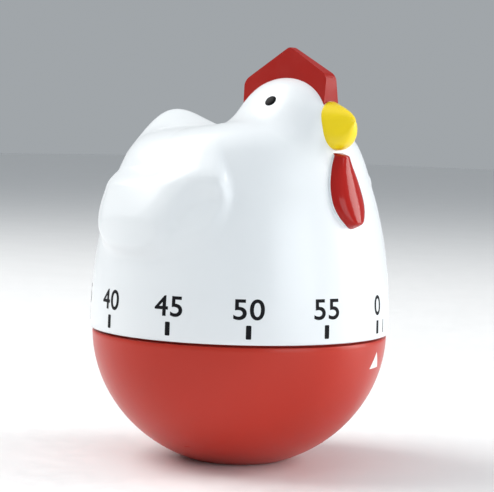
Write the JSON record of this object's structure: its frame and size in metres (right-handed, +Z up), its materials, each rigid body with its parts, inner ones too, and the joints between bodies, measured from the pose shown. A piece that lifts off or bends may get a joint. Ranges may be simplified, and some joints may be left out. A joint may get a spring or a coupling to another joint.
{
  "type": "hen-shaped kitchen timer",
  "caption": "Mechanical kitchen timer: a white hen-shaped shell with a minute dial turns on a red bowl that holds a clockwork movement and a bell.",
  "frame": {"origin": "on the turning axis, at the centre of the bowl's flat foot", "axes": "+Z up along the turning axis, the hen faces -Y and its right side is -X"},
  "size_m": [0.06, 0.06, 0.0823],
  "materials": {
    "white_shell": "glossy white ABS",
    "red_bowl": "satin-gloss red ABS",
    "comb_red": "satin red",
    "wattle_red": "glossy red",
    "beak_yellow": "satin-gloss yellow",
    "eye_black": "glossy black",
    "carrier_white": "plain moulding",
    "brass": "stamped brass",
    "steel": "bright steel"
  },
  "bodies": {
    "base": {"base_bowl": "red_bowl", "bell": "steel", "bell_screw": "steel", "bottom_plate": "steel", "top_plate": "steel", "pillar_1": "brass", "pillar_2": "brass", "pillar_3": "brass", "pillar_screw_1": "steel", "pillar_screw_2": "steel", "pillar_screw_3": "steel", "movement_screw_1": "steel", "movement_screw_2": "steel", "movement_screw_3": "steel", "mainspring": "steel", "spring_post": "steel", "lever_stud": "steel", "stop_stud": "steel"},
    "hen": {"hen_shell": "white_shell", "comb": "comb_red", "beak": "beak_yellow", "wattle": "wattle_red", "eye_left": "eye_black", "eye_right": "eye_black", "carrier": "carrier_white", "carrier_screw": "steel", "main_arbor": "steel", "main_wheel": "brass", "clutch_washer": "steel", "clutch_collar": "brass", "zero_cam": "brass"},
    "second_wheel_set": {"second_arbor": "steel", "second_wheel": "brass", "strike_star": "brass"},
    "third_wheel_set": {"third_arbor": "steel", "third_wheel": "brass"},
    "escape_wheel_set": {"escape_arbor": "steel", "escape_wheel": "brass"},
    "balance": {"balance_staff": "steel", "pallet_anchor": "brass", "balance_wheel": "brass"},
    "hammer": {"hammer_arbor": "steel", "hammer_arm": "steel", "hammer_head": "steel", "hammer_finger": "steel"},
    "lever": {"release_lever": "steel"}
  },
  "joints": [
    {"name": "dial_turn", "type": "hinge", "parent": "base", "child": "hen", "pos_m": [0, 0, 0.0261], "axis": [0, 0, 1], "range_deg": [-352, 0]},
    {"name": "second_wheel_turn", "type": "hinge", "parent": "base", "child": "second_wheel_set", "pos_m": [0.01176, 0, 0.016], "axis": [0, 0, 1], "range_deg": [0, 2112]},
    {"name": "third_wheel_turn", "type": "hinge", "parent": "base", "child": "third_wheel_set", "pos_m": [0.01132, 0.00839, 0.016], "axis": [0, 0, 1], "range_deg": [-12672, 0]},
    {"name": "escape_wheel_turn", "type": "hinge", "parent": "base", "child": "escape_wheel_set", "pos_m": [0.00514, 0.01196, 0.014], "axis": [0, 0, 1], "range_deg": [0, 76032]},
    {"name": "balance_swing", "type": "hinge", "parent": "base", "child": "balance", "pos_m": [-0.00124, 0.01367, 0.0155], "axis": [0, 0, 1], "range_deg": [-8, 8]},
    {"name": "hammer_swing", "type": "hinge", "parent": "base", "child": "hammer", "pos_m": [0.01261, -0.00985, 0.0145], "axis": [0, 0, 1], "range_deg": [-8, 0]},
    {"name": "release_lever_swing", "type": "hinge", "parent": "base", "child": "lever", "pos_m": [0.00113, -0.01295, 0.022], "axis": [0, 0, 1], "range_deg": [-7, 0]}
  ],
  "couplings": [
    {"joint": "second_wheel_turn", "follows": "dial_turn", "ratio": -6},
    {"joint": "third_wheel_turn", "follows": "dial_turn", "ratio": 36},
    {"joint": "escape_wheel_turn", "follows": "dial_turn", "ratio": -216}
  ]
}
